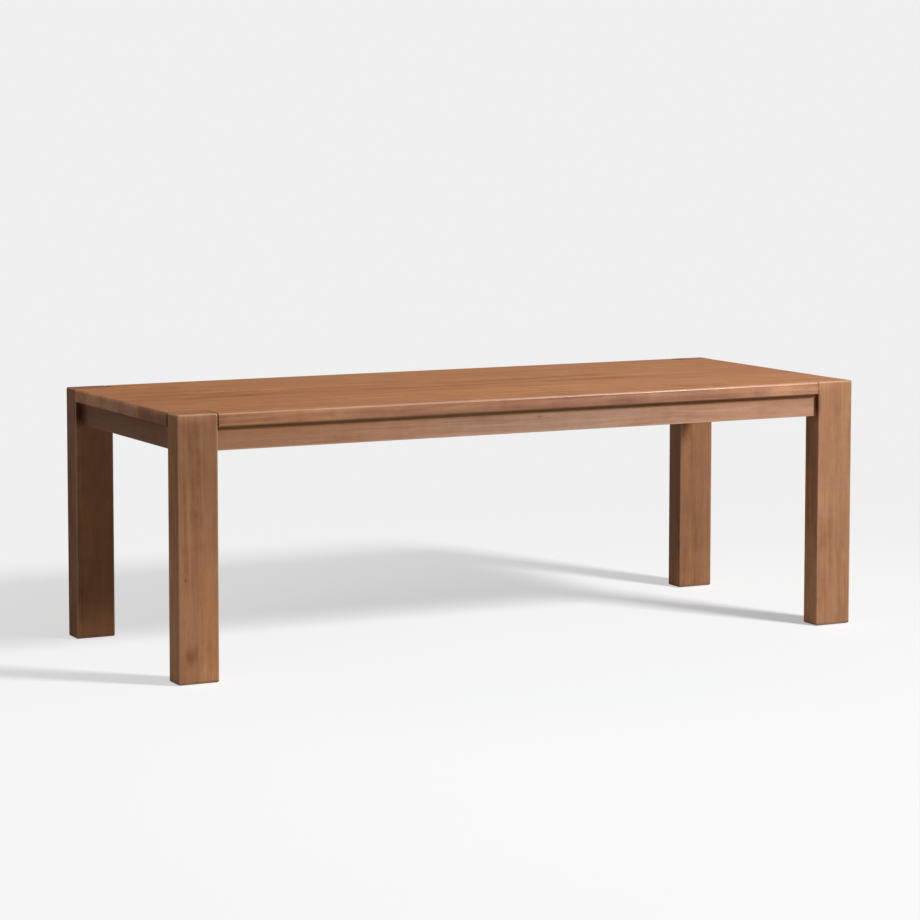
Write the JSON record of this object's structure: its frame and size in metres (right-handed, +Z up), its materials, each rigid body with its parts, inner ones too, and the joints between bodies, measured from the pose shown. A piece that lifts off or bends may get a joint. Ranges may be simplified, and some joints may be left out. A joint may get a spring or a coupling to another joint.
{
  "type": "dining table",
  "caption": "Long rectangular wooden dining table with a thick board top let in around stout corner legs, flush at the corners, on a set-back apron frame.",
  "frame": {"origin": "on the floor under the middle of the top", "axes": "+X along the table's length to the right, +Y to the back, +Z up"},
  "size_m": [2.286, 0.908, 0.775],
  "materials": {
    "top_wood": "satin honey stain",
    "leg_wood": "satin honey stain",
    "apron_wood": "satin honey stain",
    "inner_wood": "planed, unstained",
    "dowel_wood": "turned, unstained",
    "steel": "zinc plated",
    "nylon": "moulded"
  },
  "bodies": {
    "root": {"top_board_1": "top_wood", "top_board_2": "top_wood", "top_board_3": "top_wood", "top_board_4": "top_wood", "top_board_5": "top_wood", "top_board_6": "top_wood", "leg_front_left": "leg_wood", "leg_front_right": "leg_wood", "leg_back_left": "leg_wood", "leg_back_right": "leg_wood", "front_apron": "apron_wood", "back_apron": "apron_wood", "left_apron": "apron_wood", "right_apron": "apron_wood", "corner_block_front_left": "inner_wood", "corner_block_front_right": "inner_wood", "corner_block_back_left": "inner_wood", "corner_block_back_right": "inner_wood", "cross_rail_1": "inner_wood", "cross_rail_2": "inner_wood", "cross_rail_3": "inner_wood", "rail_dowels": "dowel_wood", "glide_front_left": "nylon", "glide_front_right": "nylon", "glide_back_left": "nylon", "glide_back_right": "nylon", "hanger_bolts": "steel", "bolt_washers": "steel", "bolt_nuts": "steel", "block_screws": "steel", "rail_screws": "steel", "clip_screws": "steel", "top_clips": "steel", "glide_nails": "steel"}
  },
  "joints": []
}
